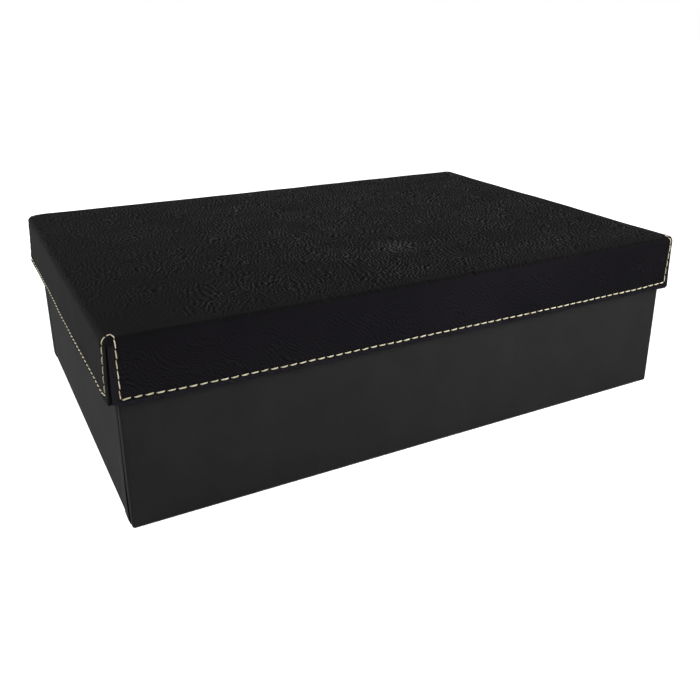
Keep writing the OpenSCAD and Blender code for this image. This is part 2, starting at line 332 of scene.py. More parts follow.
def corner_painted_light_and_slit_shade(g, here):
    """At the lid's upright corners: painted light, 1, on the outside of the skin, and painted shade, -1, on
    the strips behind the slits.
    """
    size = g.vector("ABSOLUTE", here)
    radius = g.distance(g.vector("MULTIPLY", size, (1, 1, 0)), (RIGHT_X - LID_R, REAR_Y - LID_R, 0))
    x, y, z = g.parts(size)
    at_corner = g.product(g.spread(x, *CORNER_PAINT_X), g.spread(y, *CORNER_PAINT_Y), g.spread(z, *CORNER_PAINT_Z))
    return g.product(at_corner, g.spread(radius, *CORNER_PAINT_R, -1.0, 1.0))


def leather_tone_and_painted_light(g, here, grain, on_left):
    """By how much each place is lighter than the plain colour, which is 1: grain crests with a painted sheen,
    a patchy band above the rim with painted shade on the left, painted light on the corners and painted shade
    behind the slits, painted light on the left side, a painted highlight on its fold, and painted shade at
    the right end.
    """
    x, y, z = g.parts(here)
    # Crests of the grain painted lighter: a painted sheen on the grain.
    creased_with_sheen = g.maths("MAXIMUM", g.total(g.product(grain, GRAIN_PAINTED_SHEEN), 1.0), DARKEST)
    # A patchy band above the rim: lighter on the front, right and rear, and painted shade on the left, where
    # the hem turns down.
    hem_side_with_left_shade = g.spread(on_left, 0, 1, 1.0, -0.6)
    hem_patches = g.spread(g.noise(here, size=9, detail=3, rough=0.6), 0.35, 0.6, 0.25, 0.75)
    # Painted light: the left side lighter, more so towards the rear.
    left_painted_light = g.spread(y, 0, REAR_Y, 0.35, 0.6)
    # Painted shade: the skirt darker towards the right end.
    right_end_shade = g.spread(x, *RIGHT_END_X, 0.0, RIGHT_END_PAINTED_SHADE)
    return g.total(
        creased_with_sheen,
        g.product(g.spread(z, *HEM_Z), hem_side_with_left_shade, hem_patches),
        # Painted light on the lid's corners and painted shade on the strips behind the slits.
        g.product(corner_painted_light_and_slit_shade(g, here), CORNER_PAINTED_LIGHT),
        g.product(on_left, left_painted_light),
        # Painted highlight along the fold between the top and the left side.
        g.product(g.spread(z, *LEFT_FOLD_Z), g.spread(x, *LEFT_FOLD_X), LEFT_FOLD_PAINTED_HIGHLIGHT),
        g.product(right_end_shade, g.spread(z, *BELOW_TOP_Z)),
    )


def leather_material():
    """Black leatherette: short wavy creases in patches, faint ones on the skirt, a pale spot of painted sheen
    on the top.
    """
    material, g = new_material("leatherette")
    here = g.place_mm()
    x, _, z = g.parts(here)
    on_top = g.spread(z, *ON_TOP_Z)
    on_left = g.spread(x, *ON_LEFT_X)
    one_way = g.swirled(g.swirled(here, size=15, reach=10), size=3.4, reach=2.2)
    other_way = g.swirled(g.swirled(here, size=21, reach=12), size=4.4, reach=2.6)
    first = creases(g, one_way, GRAIN_TURN + CREASE_SLANT)
    second = creases(g, other_way, GRAIN_TURN - CREASE_SLANT)
    grain = g.product(g.total(first, second), 0.25, grain_depth(g, here, on_top))
    pebble = g.noise(here, size=0.42, rough=0.6)
    cloud = g.spread(g.noise(here, size=55, detail=3, rough=0.55), 0.35, 0.65)
    # Painted light: the top and left side take one colour, the front, right and rear a bluer copy of it.
    top = g.blend(cloud, TOP_DARK, TOP_LIGHT)
    skirt = g.blend(cloud, SKIRT_DARK, SKIRT_LIGHT)
    plain = g.blend(g.maths("MAXIMUM", on_top, on_left), skirt, top)
    # A pale spot on the top: a painted sheen.
    sheen_spot = g.spread(g.distance(g.swirled(here, size=9, reach=16), SHEEN_SPOT_AT), *SHEEN_SPOT_R)
    with_sheen_spot = g.blend(g.product(sheen_spot, SHEEN_SPOT_SHARE), plain, SHEEN_SPOT_COLOUR)
    colour = g.scaled(with_sheen_spot, leather_tone_and_painted_light(g, here, grain, on_left))
    rough = g.spread(grain, -0.5, 0.5, 0.92, 0.7)
    normal = g.bump(grain, GRAIN_DEPTH, under=g.bump(pebble, PEBBLE_DEPTH))
    g.finish(colour, rough, normal, specular=0.018)
    return material


def paper_material(name, dark, light):
    """Uncoated coloured paper: short fibres, a faint cloudiness and a little tooth."""
    material, g = new_material(name)
    here = g.place_mm()
    fibre = g.noise(g.place_mm((3.2, 3.2, 1.0)), size=0.5, detail=3, rough=0.6)
    cloud = g.noise(here, size=30, detail=3, rough=0.6)
    tooth = g.noise(here, size=0.22)
    share = g.total(g.product(fibre, 0.45), g.product(cloud, 0.55))
    colour = g.blend(g.spread(share, 0.38, 0.62), dark, light)
    rough = g.spread(cloud, 0.35, 0.65, 0.76, 0.84)
    g.finish(colour, rough, g.bump(fibre, 0.03, under=g.bump(tooth, 0.02)), specular=0.02)
    return material


def board_material():
    """Grey board: felted fibres with dark flecks."""
    material, g = new_material("grey_board")
    felt = g.noise(g.place_mm((2.5, 2.5, 1.0)), size=0.8, detail=4, rough=0.65)
    fleck = g.noise(g.place_mm(), size=0.45, detail=1)
    base = g.blend(g.spread(felt, 0.3, 0.7), (0.21, 0.195, 0.17), (0.37, 0.35, 0.31))
    colour = g.blend(g.spread(fleck, 0.66, 0.72), base, (0.12, 0.11, 0.1))
    g.finish(colour, g.spread(felt, 0.3, 0.7, 0.85, 0.95), g.bump(felt, 0.08), specular=0.2)
    return material


def thread_material():
    """Cream sewing thread, here and there darker from wax and handling."""
    material, g = new_material("thread")
    here = g.place_mm()
    tint = g.noise(here, size=7, rough=0.6)
    fuzz = g.noise(here, size=0.12, rough=0.6)
    cream = g.blend(g.spread(tint, 0.4, 0.62), (0.78, 0.73, 0.52), (0.66, 0.58, 0.38))
    waxed = g.blend(g.spread(tint, 0.68, 0.74), cream, (0.42, 0.27, 0.12))
    colour = g.blend(g.spread(fuzz, 0.5, 0.8, 0.0, 0.5), waxed, (0.9, 0.88, 0.74))
    g.finish(colour, g.spread(fuzz, 0.3, 0.7, 0.6, 0.8), g.bump(fuzz, 0.03), specular=0.3)
    return material


MATERIALS = {
    "lid_leatherette": leather_material(),
    "stitching_thread": thread_material(),
    "cover_paper": paper_material("cover_paper", (0.0183, 0.0185, 0.0187), (0.0229, 0.0231, 0.0231)),
    "lining_paper": paper_material("lining_paper", (0.060, 0.060, 0.061), (0.074, 0.074, 0.074)),
    "grey_board": board_material(),
}


def link_mesh(name, vertices, faces, body, slot, sharp=40, weld=0.002):
    """Makes an object from vertices in millimetres, welds what meets, and smooths it up to an angle."""
    mesh = bpy.data.meshes.new(name)
    mesh.from_pydata((np.asarray(vertices) * MM).tolist(), [], faces)
    work = bmesh.new()
    work.from_mesh(mesh)
    bmesh.ops.remove_doubles(work, verts=work.verts, dist=weld * MM)
    bmesh.ops.dissolve_degenerate(work, edges=work.edges, dist=weld * MM * 0.1)
    loose = [v for v in work.verts if not v.link_faces]
    bmesh.ops.delete(work, geom=loose, context="VERTS")
    bmesh.ops.recalc_face_normals(work, faces=work.faces)
    work.to_mesh(mesh)
    work.free()
    mesh.shade_smooth()
    mesh.set_sharp_from_angle(angle=math.radians(sharp))
    mesh.materials.append(MATERIALS[slot])
    piece = bpy.data.objects.new(name, mesh)
    bpy.context.collection.objects.link(piece)
    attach(piece, body)
    return piece


def quads(index):
    """Faces of a grid of vertex numbers."""
    corners = [index[:-1, :-1], index[1:, :-1], index[1:, 1:], index[:-1, 1:]]
    return np.stack(corners, -1).reshape(-1, 4).tolist()


def with_z(level, z):
    """Points made of level places and their heights."""
    return np.concatenate([level, np.broadcast_to(z, level.shape[:-1])[..., None]], -1)


def rise(x, low, high):
    """0 below low, 1 above high, and smooth between them."""
    t = np.clip((x - low) / (high - low), 0, 1)
    return t * t * (3 - 2 * t)


def fade(x, low, high):
    """1 below low, 0 above high, and smooth between them."""
    return 1 - rise(x, low, high)


def hump(x, at, width):
    """1 at a place, and less and less away from it."""
    return np.exp(-(((x - at) / width) ** 2))


class Waves:
    """Smooth noise: a sum of sine waves in random directions, about 1 at its largest."""

    def __init__(self, longest, shortest, count):
        lengths = np.geomspace(longest, shortest, count)
        turns = rng.normal(size=(count, 3))
        turns /= np.linalg.norm(turns, axis=1)[:, None]
        self.k = turns * (2 * math.pi / lengths)[:, None]
        self.phase = rng.uniform(0, 2 * math.pi, count)
        self.size = (lengths / longest) ** 0.7
        self.size /= self.size.sum() * 0.6

    def at(self, points):
        return np.sin(points @ self.k.T + self.phase) @ self.size


class Rounded:
    """A rounded rectangle, run round anticlockwise from the middle of its front side."""

    def __init__(self, length, width, radius):
        self.cx, self.cy, self.radius = length / 2 - radius, width / 2 - radius, radius
        quarter = radius * math.pi / 2
        runs = [self.cx, quarter, 2 * self.cy, quarter, 2 * self.cx, quarter, 2 * self.cy, quarter, self.cx]
        self.ends = np.cumsum([0.0] + runs)
        self.total = self.ends[-1]
        corners = np.array([(1, -1), (1, 1), (-1, 1), (-1, -1)]) * (self.cx, self.cy)
        self.starts = np.vstack([(0, -self.cy), np.repeat(corners, 2, axis=0)])

    def at(self, s):
        """Points on the line through the corner centres, and outward normals, at distances s round it."""
        s = np.asarray(s, float) % self.total
        part = np.clip(np.searchsorted(self.ends, s, "right") - 1, 0, 8)
        along = s - self.ends[part]
        side = (part + 1) // 2
        corner = part % 2 == 1
        angle = np.radians(90.0) * (side - 1) + np.where(corner, along / self.radius - math.pi / 2, 0)
        normal = np.stack([np.cos(angle), np.sin(angle)], -1)
        forward = np.stack([-normal[..., 1], normal[..., 0]], -1)
        centre = self.starts[part] + forward * np.where(corner, 0, along)[..., None]
        return centre, normal


# Lid skin. A place on it is s, the distance round the lid, and h, the height along the skin above the rim.

LID = Rounded(LID_L, LID_W, LID_R)
CORNERS = ["front_right", "rear_right", "rear_left", "front_left"]
SLITS = (LID.ends[1:8:2] + LID.ends[2:9:2]) / 2
ROW_LIFT, ROW_LIFT_W = 0.7, 20.0
LEFT_ROW_DROP, LEFT_END_LIFT, LEFT_END_W = 0.7, 1.4, 8.0
FOLD_H = FOLD_Z - RIM_Z
FOLD_LEN = EDGE_R * math.pi / 2
FLAT_H = FOLD_H + FOLD_LEN + LID_R - EDGE_R
FOOT_H = ROW_UP + ROW_LIFT
ARCH_H = FOLD_H + ARCH_RISE
ARCH_R = LEG_OFF - LEG_DRAW
LEG_H = ARCH_H - FOOT_H
ARCH_LEN = 2 * LEG_H + math.pi * ARCH_R
ROWS = [
    (SLITS[3] + LEG_OFF - LID.total, SLITS[0] - LEG_OFF, LONG_STITCHES),
    (SLITS[0] + LEG_OFF, SLITS[1] - LEG_OFF, SHORT_STITCHES),
    (SLITS[1] + LEG_OFF, SLITS[2] - LEG_OFF, LONG_STITCHES),
    (SLITS[2] + LEG_OFF, SLITS[3] - LEG_OFF, SHORT_STITCHES),
]
SKIN_WAVES = Waves(130, 26, 14)
RIM_WAVES = Waves(70, 14, 10)

# How far the arches lean along the skin at distances from the slit: at the foot, and at the round top.
# The shares are for the four corners in order. The leg shift moves one leg alone away from its slit.

LEAN_AT = (-9.0, -LEG_OFF, 0.0, LEG_OFF, 9.0)
LEAN_FOOT = (0.0, -1.0, -1.3, -0.4, 0.0)
LEAN_TOP = (0.0, 1.8, 0.4, 1.3, 0.0)
LEAN_SHARE = np.array([0.2, -0.25, 0.3, 1.0])
LEG_SHIFT = (0.0, 1.0, 0.2, 0.0, 0.0)
LEG_SHIFT_BY = np.array([-1.0, 0.0, 0.0, 0.0])


def nearest_slit(s):
    """Distance along the skin from the nearest slit, and that slit's number."""
    gap = (s[..., None] - SLITS + LID.total / 2) % LID.total - LID.total / 2
    nearest = np.argmin(np.abs(gap), -1)
    return np.take_along_axis(gap, nearest[..., None], -1)[..., 0], nearest


def leaning(s, h):
    """Where on the skin a point goes when its arch leans."""
    off, nearest = nearest_slit(s)
    up = np.clip((h - FOOT_H) / LEG_H, 0, 1)
    foot, top = np.interp(off, LEAN_AT, LEAN_FOOT), np.interp(off, LEAN_AT, LEAN_TOP)
    lean = LEAN_SHARE[nearest] * (foot + (top - foot) * up)
    shift = LEG_SHIFT_BY[nearest] * np.interp(off, LEAN_AT, LEG_SHIFT)
    return s + (lean + shift) * fade(h, ARCH_H, FLAT_H)


def row_height(s):
    """Height of the rim stitching above the rim, which rises beside the slits and is lower on the left."""
    off, nearest = nearest_slit(s)
    from_leg = np.abs(off) - LEG_OFF
    level = ROW_UP + ROW_LIFT * hump(from_leg, 0, ROW_LIFT_W)
    low = ROW_UP - LEFT_ROW_DROP + LEFT_END_LIFT * hump(from_leg, 0, LEFT_END_W)
    on_left = ((nearest == 2) & (off > 0)) | ((nearest == 3) & (off < 0))
    return np.where(on_left, low, level)


def from_hole(q, pitch):
    """Distance from the nearest needle hole at a distance q along the stitching."""
    return np.abs((q / pitch + 0.5) % 1 - 0.5) * pitch


def stitch_line(s, h):
    """Distance from the stitching, and distance along it to the nearest needle hole."""
    off = np.abs(nearest_slit(s)[0])
    leg = LEG_OFF - LEG_DRAW * np.clip((h - FOOT_H) / LEG_H, 0, 1)
    on_top = h > ARCH_H
    arch_d = np.abs(np.where(on_top, np.hypot(off, h - ARCH_H) - ARCH_R, off - leg))
    arch_d = np.where(h < FOOT_H, np.hypot(off - LEG_OFF, h - FOOT_H), arch_d)
    bend = np.arctan2(np.maximum(h - ARCH_H, 0), off)
    arch_hole = from_hole(np.where(on_top, LEG_H + ARCH_R * bend, h - FOOT_H), ARCH_LEN / ARCH_STITCHES)
    row_d = np.where(off > LEG_OFF, np.abs(h - row_height(s)), np.inf)
    row_hole = np.zeros_like(row_d)
    for start, end, count in ROWS:
        along = (s - start) % LID.total
        inside = along <= end - start + 1e-6
        row_hole = np.where(inside, from_hole(along, (end - start) / count), row_hole)
    use_row = row_d < arch_d
    return np.where(use_row, row_d, arch_d), np.where(use_row, row_hole, arch_hole)


# Relief of the skin in millimetres: what stands out, how wide it is and where along h it fades.
# Values in arrays are for the four corners in order.

GROOVE, GROOVE_W = 0.30, 0.75
PUFF, PUFF_AT, PUFF_W = 0.16, 1.7, 0.9
HOLE, HOLE_W = 0.35, 0.7
WAVE = 0.32
RIM_WAVE, RIM_WAVE_H = 0.22, (6, 26)
LONG_SAG, SHORT_SAG = 0.45, 0.35
LEFT_SAG, LEFT_SAG_H, LEFT_SAG_OFF = 0.9, (0, 9), (4, 12)
CORNER_W = 13.0
CORNER_OUT, CORNER_OUT_H = np.array([0.35, 0.0, 0.8, 0.0]), (0, 12)
CORNER_IN, CORNER_IN_H = np.array([0.0, 0.0, 0.85, 0.0]), (4, 24)
CORNER_IN_TOP = (FOLD_H + 1, FOLD_H + 6)
CORNER_UP, CORNER_UP_W, CORNER_UP_OFF = np.array([0.0, 0.0, 0.7, 0.0]), 22.0, (1, 12)
CORNER_UP_H, CORNER_UP_TOP = (FOLD_H, FOLD_H + 3), (FOLD_H + 4, FOLD_H + 7.4)
FLAP_CURL, FLAP_CURL_W = 0.35, 3.0
FLAP_SINK, FLAP_SINK_W = 0.45, 2.4
FLAP_EDGE_H = (2, 28)
FLAP_BEND, FLAP_BEND_AT, FLAP_BEND_W = 0.5, 4.6, 2.2
FLAP_BEND_OFF, FLAP_BEND_H = (0, 3), (FOLD_H - 6, ARCH_H + 1)
FLAP_CUT, FLAP_CUT_AT, FLAP_CUT_W, FLAP_CUT_H = 1.6, 4.4, 3.0, (0, 3.2)


def corner_push(s, h):
    """How far the skin lies out at a corner: at the rim, less below the fold, and on the fold beside it."""
    off, nearest = nearest_slit(s)
    out = CORNER_OUT[nearest] * fade(h, *CORNER_OUT_H)
    drawn_in = CORNER_IN[nearest] * rise(h, *CORNER_IN_H) * fade(h, *CORNER_IN_TOP)
    up = CORNER_UP[nearest] * rise(h, *CORNER_UP_H) * fade(h, *CORNER_UP_TOP)
    beside = rise(np.abs(off), *CORNER_UP_OFF) * hump(off, 0, CORNER_UP_W)
    return (out - drawn_in) * hump(off, 0, CORNER_W) + up * beside


def flap_curl(s, h):
    """How far the flaps beside a slit stand out: the first at its free edge, the second at its stitching."""
    off = nearest_slit(s)[0]
    first, second = FLAP_CURL * hump(off, 0, FLAP_CURL_W), -FLAP_SINK * hump(off, 0, FLAP_SINK_W)
    at_edge = np.where(off > 0, second, first) * fade(h, *FLAP_EDGE_H)
    bend = FLAP_BEND * hump(off, FLAP_BEND_AT, FLAP_BEND_W) * rise(off, *FLAP_BEND_OFF)
    return at_edge + bend * fade(h, *FLAP_BEND_H)


def soft_push(s, h, points):
    """How far the outside of the skin lies out from its nominal surface, away from the stitching."""
    rim = RIM_WAVE * fade(h, *RIM_WAVE_H) * RIM_WAVES.at(points)
    return WAVE * SKIN_WAVES.at(points) + rim + flap_curl(s, h) + corner_push(s, h)


def skin_push(s, h, points):
    """The same with the stitching's groove, the leatherette puffed up beside it, and the needle holes."""
    d, hole = stitch_line(s, h)
    seam = PUFF * hump(d, PUFF_AT, PUFF_W) - GROOVE * hump(d, 0, GROOVE_W)
    return seam - HOLE * hump(d, 0, HOLE_W) * hump(hole, 0, HOLE_W) + soft_push(s, h, points)


def sag(s, h):
    """How far the skirt hangs lower between its corners, more so at the rim, and how the flaps are cut."""
    centre, normal = LID.at(s)
    long_side = np.abs(normal[..., 1])
    x, y = np.abs(centre[..., 0]) / LID.cx, np.abs(centre[..., 1]) / LID.cy
    drop = LONG_SAG * long_side * (1 - x**2) + SHORT_SAG * (1 - long_side) * (1 - y**2)
    off = nearest_slit(s)[0]
    on_left = (normal[..., 0] < -0.9) * rise(np.abs(off), *LEFT_SAG_OFF)
    drop = drop + LEFT_SAG * on_left * fade(h, *LEFT_SAG_H)
    cut = FLAP_CUT * hump(off, FLAP_CUT_AT, FLAP_CUT_W) * fade(h, *FLAP_CUT_H)
    return drop * fade(h, 0, FOLD_H) - cut


HEM_SHARE, RIM_SHARE, TURN_SHARE, INSIDE_SHARE = 0.7, 0.3, 0.15, 0.1
FOLD_STEPS, WALL_STEPS, HEM_STEPS, TURN_STEPS, INSIDE_STEPS = 13, 40, 7, 4, 6


def skin_section():
    """The skin's section from the top, over the fold, down the wall, round the hem and up inside.

    Each row holds outside (u, z), its normal, inside (u, z), h, and the share of the relief it takes.
    """
    rows = []
    for u in (0.0, 1.0, 2.0):
        rows.append((u, TOP_Z, 0, 1, u, TOP_Z - SKIN_T, FLAT_H - u, 1))
    bend = EDGE_R - SKIN_T
    for a in np.radians(np.linspace(90, 0, FOLD_STEPS)):
        nu, nz = math.cos(a), math.sin(a)
        rows.append((
            LID_R - EDGE_R + EDGE_R * nu, FOLD_Z + EDGE_R * nz, nu, nz,
            LID_R - EDGE_R + bend * nu, FOLD_Z + bend * nz, FOLD_H + EDGE_R * a, 1,
        ))
    hem_top = RIM_Z + HEM_R
    for z in np.linspace(FOLD_Z, hem_top, WALL_STEPS)[1:]:
        rows.append((LID_R, z, 1, 0, LID_R - SKIN_T, z, z - RIM_Z, 1))
    for a in np.radians(np.linspace(0, -90, HEM_STEPS))[1:]:
        nu, nz = math.cos(a), math.sin(a)
        rows.append((
            LID_R - HEM_R + HEM_R * nu, hem_top + HEM_R * nz, nu, nz,
            LID_R - SKIN_T, hem_top, HEM_R + HEM_R * nz, HEM_SHARE,
        ))
    inner = LID_R - SKIN_T - BOARD_T
    middle = inner + BOARD_T / 2
    rows.append((middle, RIM_Z, 0, -1, middle, hem_top, 0, RIM_SHARE))
    for a in np.radians(np.linspace(-90, -180, TURN_STEPS)):
        nu, nz = math.cos(a), math.sin(a)
        turn_u, turn_z = inner + TURN_T * nu, RIM_Z + TURN_T + TURN_T * nz
        rows.append((turn_u, turn_z, nu, nz, inner, hem_top, 0, TURN_SHARE))
    for z in np.linspace(hem_top, RIM_Z + TURN_H, INSIDE_STEPS):
        rows.append((inner - TURN_T, z, -1, 0, inner, z, z - RIM_Z, INSIDE_SHARE))
    return np.array(rows)


STITCH_STEPS = 4
SLIT_STEPS = 12
SLIT_ROUND_H = 1.2


def skin_columns():
    """Values of s for the mesh's columns, and for each slit the first of the two columns at its edges."""
    columns, edges = [], []
    half = np.linspace(0, LEG_OFF, SLIT_STEPS + 1)
    for slit, (start, end, count) in zip(SLITS, ROWS):
        columns += list(np.linspace(start, end, STITCH_STEPS * count + 1))
        columns += list(slit - half[::-1][1:])
        edges.append(len(columns) - 1)
        columns += list((slit + half)[:-1])
    return np.array(columns), np.array(edges)


def slit_half_gap(z):
    """Half the width of a slit, which is round at its top and has rounded corners at the rim."""
    top = FOLD_Z - SLIT_DROP + SLIT_TOP_W / 2
    up = np.clip((z - RIM_Z) / (top - RIM_Z), 0, 1)
    gap = (SLIT_RIM_W + (SLIT_TOP_W - SLIT_RIM_W) * up) / 2
    near_top = np.clip((z - top + SLIT_ROUND_H) / SLIT_ROUND_H, 0, 1)
    gap = gap * np.sqrt(np.maximum(1 - near_top**2, 0))
    low = np.clip(1 - (z - RIM_Z) / FLAP_R, 0, 1)
    return np.where(z < top, gap + FLAP_R * (1 - np.sqrt(1 - 0.999 * low**2)), 0)


def flat_top(centre):
    """The flat of the top as a grid, on the lines where the columns end."""
    xs, ys = (np.unique(np.round(centre[:, 0, axis], 4)) for axis in (0, 1))
    flat = with_z(np.stack(np.meshgrid(xs, ys, indexing="ij"), -1), TOP_Z)
    flat[..., 2] += WAVE * SKIN_WAVES.at(flat)
    return flat


def make_skin():
    out_u, out_z, nu, nz, in_u, in_z, h, share = skin_section().T
    columns, edges = skin_columns()
    count, rows = len(columns), len(h)
    off = nearest_slit(columns)[0]
    side = np.sign(off)
    side[edges], side[edges + 1] = -1, 1
    gap = slit_half_gap(out_z)
    reach = np.clip(1 - np.abs(off) / LEG_OFF, 0, 1) ** 2
    s = columns[:, None] + (side * reach)[:, None] * gap
    h = np.broadcast_to(h, s.shape)
    centre, normal = LID.at(leaning(s, h))

    outer = with_z(centre + normal * out_u[:, None], out_z)
    outward = with_z(normal * nu[:, None], nz)
    outer = outer + outward * (skin_push(s, h, outer) * share)[..., None]
    inner = with_z(centre + normal * in_u[:, None], in_z)
    drop = sag(s, h)
    outer[..., 2] -= drop
    inner[..., 2] -= drop

    outside = np.arange(count * rows).reshape(count, rows)
    inside = outside + count * rows
    faces = []
    for i in np.setdiff1d(np.arange(count), edges):
        j = (i + 1) % count
        faces += quads(outside[[i, j]])
        faces += quads(inside[[j, i]])
        faces.append((outside[i, -1], inside[i, -1], inside[j, -1], outside[j, -1]))
    first_open = np.nonzero(gap > 1e-6)[0].min() - 1
    for i in (*edges, *(edges + 1)):
        faces += quads(np.stack([outside[i, first_open:], inside[i, first_open:]]))
    faces.append(inside[:, 0].tolist())

    flat = flat_top(centre)
    faces += quads(2 * count * rows + np.arange(flat[..., 0].size).reshape(flat.shape[:2]))
    vertices = np.vstack([points.reshape(-1, 3) for points in (outer, inner, flat)])
    skin = link_mesh("lid_skin_formed", vertices, faces, "lid", "lid_leatherette")
    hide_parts("lid_skin")


# Stitches: short lengths of twisted thread that dip into the skin at both ends. Thread diameters and the
# gaps between stitches are for the long rows, the short rows and the arches.

LONG_THREAD_D, LONG_GAP = 0.68, 1.5
SHORT_THREAD_D, SHORT_GAP = 0.54, 2.0
ARCH_THREAD_D, ARCH_GAP = 0.46, 0.8
LEFT_LEG_UP = 1.3
SLANT, SLANT_RANGE, STRAY = 0.1, (0.75, 1.25), 0.05
THICK_RANGE, TWIST_RANGE = (0.93, 1.07), (0, 6.28)
STITCH_LIFT, STITCH_DIP, DIP_FROM = 0.16, 0.75, 0.62
RINGS, SIDES = 13, 12
PLIES, PLY_DEPTH, PLY_TWIST = 3, 0.09, 2.2
TAPER, FLATNESS = 0.45, 0.9


def skin_surface(s, h):
    """Point on the lid's nominal surface, h above the rim along the skin, and its normal."""
    a = np.clip((h - FOLD_H) / EDGE_R, 0, math.pi / 2)
    over = np.maximum(h - FOLD_H - FOLD_LEN, 0)
    u = LID_R - EDGE_R + EDGE_R * np.cos(a) - over
    z = RIM_Z + np.minimum(h, FOLD_H) + EDGE_R * np.sin(a)
    centre, normal = LID.at(leaning(s, h))
    return with_z(centre + normal * u[..., None], z), with_z(normal * np.cos(a)[..., None], np.sin(a))


def stitch_points(path, start, end, thread_d, gap):
    """Middle line of one stitch along path(q) -> (s, h), leaning across it as a sewn stitch does."""
    s, h = path(np.linspace(start + gap / 2, end - gap / 2, RINGS))
    ds, dh = np.gradient(s), np.gradient(h)
    size = np.hypot(ds, dh)
    lean = np.linspace(-1, 1, RINGS) * SLANT * rng.uniform(*SLANT_RANGE) + rng.normal(0, STRAY)
    s, h = s - dh / size * lean, h + ds / size * lean
    point, outward = skin_surface(s, h)
    point[:, 2] -= sag(s, h)
    dip = np.clip((np.abs(np.linspace(-1, 1, RINGS)) - DIP_FROM) / (1 - DIP_FROM), 0, 1) ** 2
    lift = thread_d * (STITCH_LIFT - STITCH_DIP * dip) + soft_push(s, h, point)
    return point + outward * lift[:, None], outward


def stitch_tube(points, outward, radius, twist):
    """Rings of a twisted thread of some plies, thinner at its ends."""
    along = np.gradient(points, axis=0)
    along /= np.linalg.norm(along, axis=1)[:, None]
    across = np.cross(along, outward)
    across /= np.linalg.norm(across, axis=1)[:, None]
    up = np.cross(across, along)
    angle = np.linspace(0, 2 * math.pi, SIDES, endpoint=False)
    t = np.linspace(0, 1, RINGS)
    ply = np.cos(PLIES * (angle[None, :] - twist - PLY_TWIST * t[:, None]))
    taper = 1 - TAPER * np.abs(2 * t - 1) ** 4
    r = radius * taper[:, None] * (1 + PLY_DEPTH * ply)
    ring = across[:, None] * np.cos(angle)[:, None] + up[:, None] * np.sin(angle)[:, None] * FLATNESS
    return points[:, None] + ring * r[..., None]


def make_stitching(name, path, start, end, count, thread_d, gap):
    """One seam of stitches, which replaces the CAD's seam of the same name."""
    vertices, faces = [], []
    pitch = (end - start) / count
    for i in range(count):
        points, outward = stitch_points(path, start + i * pitch, start + (i + 1) * pitch, thread_d, gap)
        radius, twist = thread_d / 2 * rng.uniform(*THICK_RANGE), rng.uniform(*TWIST_RANGE)
        vertices.append(stitch_tube(points, outward, radius, twist).reshape(-1, 3))
        index = np.arange(RINGS * SIDES).reshape(RINGS, SIDES) + i * RINGS * SIDES
        faces += quads(np.hstack([index, index[:, :1]]))
        faces += [index[0].tolist(), index[-1][::-1].tolist()]
    vertices = np.vstack(vertices)
    piece = link_mesh(name + "_thread", vertices, faces, "lid", "stitching_thread", sharp=60, weld=0.0001)
    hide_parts(name + "_stitching")


def row_path(q):
    return q, row_height(q)


def arch_path(slit):
    """The way up the leg before a slit, over the round top and down the leg after it."""
    def path(q):
        bend = np.clip((q - LEG_H) / ARCH_R, 0, math.pi)
        up = np.clip(np.minimum(q, ARCH_LEN - q) / LEG_H, 0, 1)
        s = slit - (LEG_OFF - LEG_DRAW * up) * np.cos(bend)
        return s, FOOT_H + LEG_H * up + ARCH_R * np.sin(bend)
    return path


def make_all_stitching():
    long_thread, short_thread = (LONG_THREAD_D, LONG_GAP), (SHORT_THREAD_D, SHORT_GAP)
    for side, row in zip(["front", "right", "rear", "left"], ROWS):
        thread = long_thread if row[2] == LONG_STITCHES else short_thread
        make_stitching(side + "_rim", row_path, *row, *thread)
    for corner, slit in zip(CORNERS, SLITS):
        start = LEFT_LEG_UP if corner == "front_left" else 0
        path = arch_path(slit)
        make_stitching(corner + "_arch", path, start, ARCH_LEN, ARCH_STITCHES, ARCH_THREAD_D, ARCH_GAP)


# Base: covering papers, each one sheet turned under the floor and down inside the rim

cover_low, cover_high = (np.array(corner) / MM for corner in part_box("base_front_cover"))
BASE_BOTTOM, BASE_TOP = cover_low[2], cover_high[2]
BASE = Rounded(2 * cover_high[0], -2 * cover_low[1], BASE_R)
BASE_WAVES = Waves(170, 24, 14)
BASE_WAVE = 0.14
FOLD_R = 0.8
MITRE_IN = 0.25
SEAM_LIFT, SEAM_LIFT_W, SEAM_LIFT_H = 0.45, 5.0, 8.0
SLANT_REACH = 30.0
EDGE_THIN, EDGE_THIN_W = 0.22, 0.8
LAP_EASE = 1.5
TUCK = 0.4
SHORT_RUN, SHORT_STEP, LONG_STEP = 20, 0.9, 5
END_STEPS = np.array([0.7, 1.4, 2.5, 4, 6, 8.5, 11, 13])


